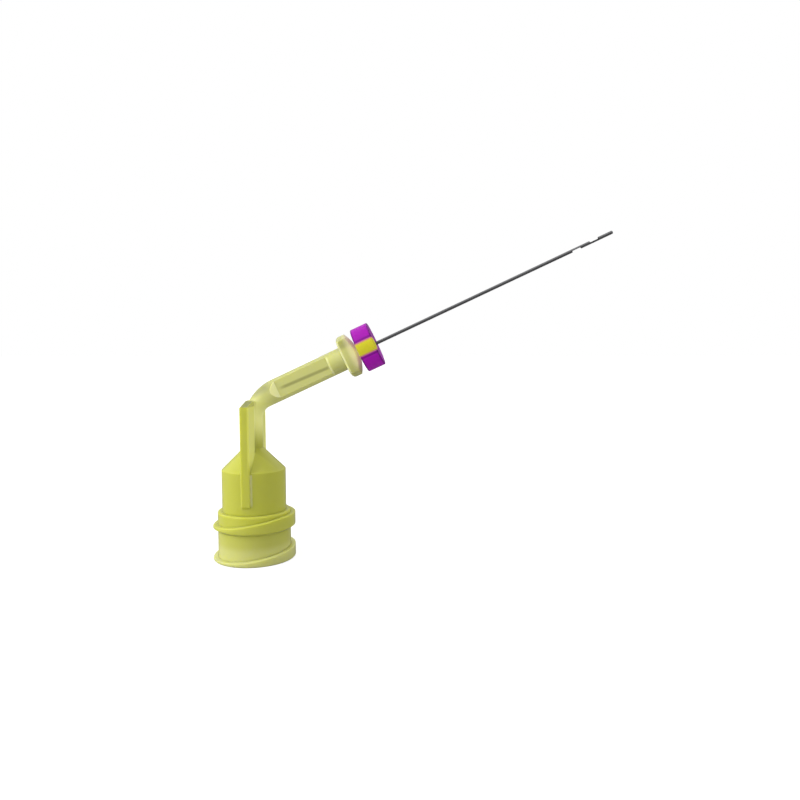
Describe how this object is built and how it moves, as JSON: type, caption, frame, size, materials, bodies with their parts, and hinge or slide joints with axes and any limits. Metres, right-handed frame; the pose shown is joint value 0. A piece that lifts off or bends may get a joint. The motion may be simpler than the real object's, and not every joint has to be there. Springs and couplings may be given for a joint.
{
  "type": "side-vented irrigation needle",
  "caption": "Bent-hub irrigation needle: moulded Luer hub, thin closed-tip steel cannula with staggered side vents, and a sliding silicone depth stop.",
  "frame": {"origin": "centre of the Luer socket's mouth, on the hub's end face", "axes": "+Z along the Luer axis from the mouth into the hub, +X towards the side the arm leans to"},
  "size_m": [0.0378, 0.0078, 0.031],
  "materials": {
    "hub_plastic": "translucent yellow moulded polypropylene, satin gloss",
    "cannula_steel": "drawn stainless tube, fine polish",
    "bond_adhesive": "clear cured adhesive",
    "stop_silicone": "purple silicone, satin",
    "stripe_silicone": "yellow silicone, satin"
  },
  "bodies": {
    "needle": {"hub": "hub_plastic", "cannula": "cannula_steel", "bond": "bond_adhesive"},
    "stop": {"depth_stop": "stop_silicone", "stop_stripe": "stripe_silicone"}
  },
  "joints": [
    {"name": "stop_slide", "type": "slide", "parent": "needle", "child": "stop", "axis": [0.9063, 0, 0.4226], "range_m": [0, 0.0195]}
  ]
}
